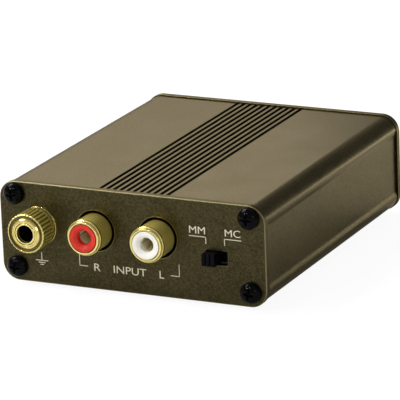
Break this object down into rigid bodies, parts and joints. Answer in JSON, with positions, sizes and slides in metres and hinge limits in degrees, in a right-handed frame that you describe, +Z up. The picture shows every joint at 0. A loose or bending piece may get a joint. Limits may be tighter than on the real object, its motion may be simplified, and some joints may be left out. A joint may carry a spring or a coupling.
{
  "type": "phono preamp",
  "caption": "Small extruded aluminium phono preamp with phono jacks, a knurled ground terminal, a cartridge slide switch and a ribbed top.",
  "frame": {"origin": "on the surface under the feet, below the middle of the overall box", "axes": "+Z up, -Y out of the front plate with the inputs, +X to the right seen from the front"},
  "size_m": [0.0644, 0.0882, 0.0242],
  "materials": {
    "case_shell": "fine bead-blasted, olive-brown anodised",
    "end_plate": "fine bead-blasted, olive-brown anodised",
    "black_screw": "glossy black oxide",
    "foot_rubber": "matte moulded rubber",
    "gold_plate": "polished gold plating",
    "zinc_steel": "zinc-plated",
    "tinned_metal": "bright tin plating",
    "nickel_pin": "polished nickel",
    "black_plastic": "moulded black plastic",
    "brown_phenolic": "pressed phenolic sheet",
    "insert_red": "moulded red plastic",
    "insert_white": "moulded white plastic",
    "lamp_lens": "clear green epoxy",
    "board_green": "solder mask over glass laminate",
    "film_red": "moulded red case",
    "resistor_blue": "lacquered blue body",
    "chip_black": "moulded epoxy",
    "can_sleeve": "shrunk sleeve over an aluminium can",
    "ferrite": "pressed ferrite",
    "copper_wire": "enamelled copper winding"
  },
  "bodies": {
    "chassis": {"amplifier_chip_legs": "tinned_metal", "amplifier_chips": "chip_black", "choke_core": "ferrite", "choke_winding": "copper_wire", "circuit_board": "board_green", "coupling_capacitors": "can_sleeve", "dc_socket_housing": "black_plastic", "dc_socket_pin": "nickel_pin", "dc_socket_spring": "tinned_metal", "extrusion_shell": "case_shell", "film_capacitors": "film_red", "front_plate": "end_plate", "front_screws": "black_screw", "ground_hex_nut": "zinc_steel", "ground_lock_washer": "zinc_steel", "ground_post": "gold_plate", "ground_solder_tag": "tinned_metal", "input_left_contact": "tinned_metal", "input_left_ground_clip": "tinned_metal", "input_left_housing": "black_plastic", "input_left_insert": "insert_white", "input_left_shell": "gold_plate", "input_right_contact": "tinned_metal", "input_right_ground_clip": "tinned_metal", "input_right_housing": "black_plastic", "input_right_insert": "insert_red", "input_right_shell": "gold_plate", "output_left_contact": "tinned_metal", "output_left_ground_clip": "tinned_metal", "output_left_housing": "black_plastic", "output_left_insert": "insert_white", "output_left_shell": "gold_plate", "output_right_contact": "tinned_metal", "output_right_ground_clip": "tinned_metal", "output_right_housing": "black_plastic", "output_right_insert": "insert_red", "output_right_shell": "gold_plate", "power_lamp": "lamp_lens", "power_lamp_leads": "tinned_metal", "rear_plate": "end_plate", "rear_screws": "black_screw", "regulator_legs": "tinned_metal", "resistor_leads": "tinned_metal", "resistors": "resistor_blue", "rubber_feet": "foot_rubber", "supply_capacitors": "can_sleeve", "switch_base": "brown_phenolic", "switch_frame": "zinc_steel", "switch_terminals": "tinned_metal", "voltage_regulators": "chip_black"},
    "switch_slider": {"switch_knob": "black_plastic", "switch_bridges": "tinned_metal"},
    "ground_clamp": {"ground_washer": "gold_plate"},
    "ground_nut": {"ground_thumb_nut": "gold_plate"}
  },
  "joints": [
    {"name": "switch_slide", "type": "slide", "parent": "chassis", "child": "switch_slider", "axis": [1, 0, 0], "range_m": [0, 0.002]},
    {"name": "ground_clamp_travel", "type": "slide", "parent": "chassis", "child": "ground_clamp", "axis": [0, -1, 0], "range_m": [0, 0.0032]},
    {"name": "ground_nut_turn", "type": "hinge", "parent": "ground_clamp", "child": "ground_nut", "pos_m": [-0.02275, -0.04127, 0.01445], "axis": [0, -1, 0], "range_deg": [0, 1440]}
  ],
  "couplings": [
    {"joint": "ground_nut_turn", "follows": "ground_clamp_travel", "rad_per_m": 7854}
  ]
}
